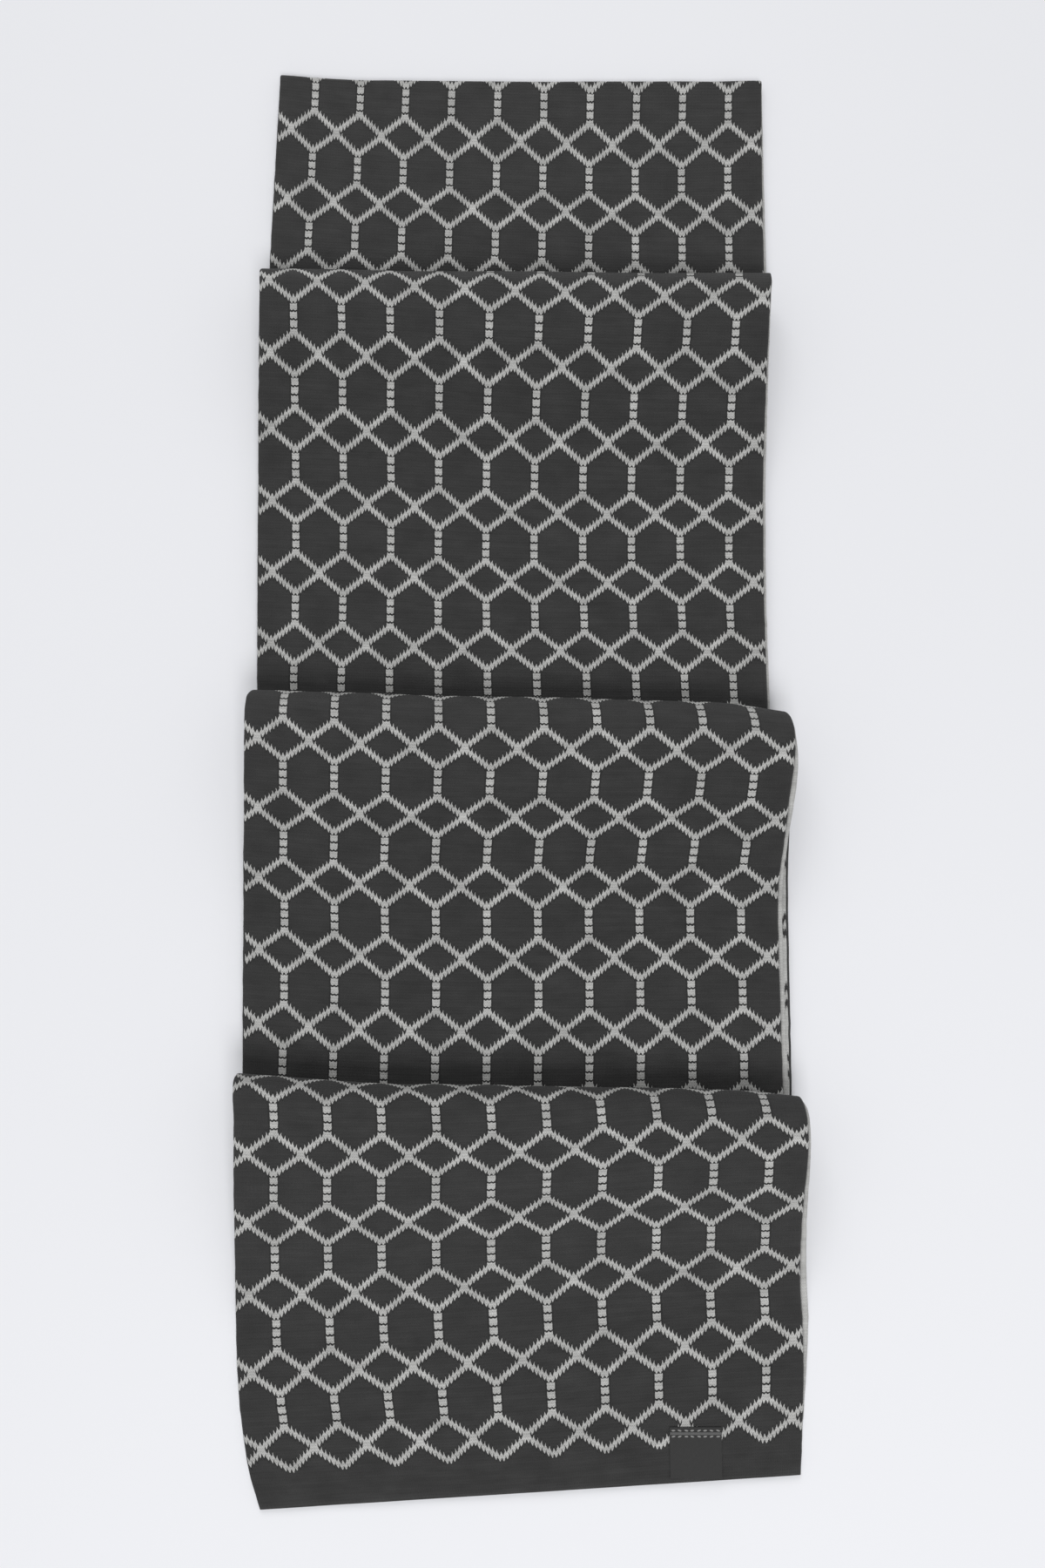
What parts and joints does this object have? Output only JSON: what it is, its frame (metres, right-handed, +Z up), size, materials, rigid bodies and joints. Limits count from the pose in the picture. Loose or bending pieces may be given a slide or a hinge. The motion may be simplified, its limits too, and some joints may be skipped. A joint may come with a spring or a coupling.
{
  "type": "knitted muffler laid in folds",
  "caption": "Long double-knit muffler laid flat in a cascade of overlapping folds, with a plain hem and a small sewn patch.",
  "frame": {"origin": "centre of the part's bounding box at the surface it lies on", "axes": "+Z up from the surface, +Y along the muffler from the hem towards its folded end, +X to the right as seen from above with the hem nearest"},
  "size_m": [0.3123, 0.8356, 0.042],
  "materials": {
    "knit_face": "dark jacquard knit with a pale lattice, matt",
    "knit_reverse": "pale jacquard knit with a dark lattice, matt",
    "patch_cloth": "plain dark woven cloth"
  },
  "bodies": {
    "root": {"stretch_front": "knit_face", "stretch_third": "knit_face", "stretch_second": "knit_face", "stretch_back": "knit_face", "hidden_layers": "knit_reverse", "hem_patch": "patch_cloth"}
  },
  "joints": []
}
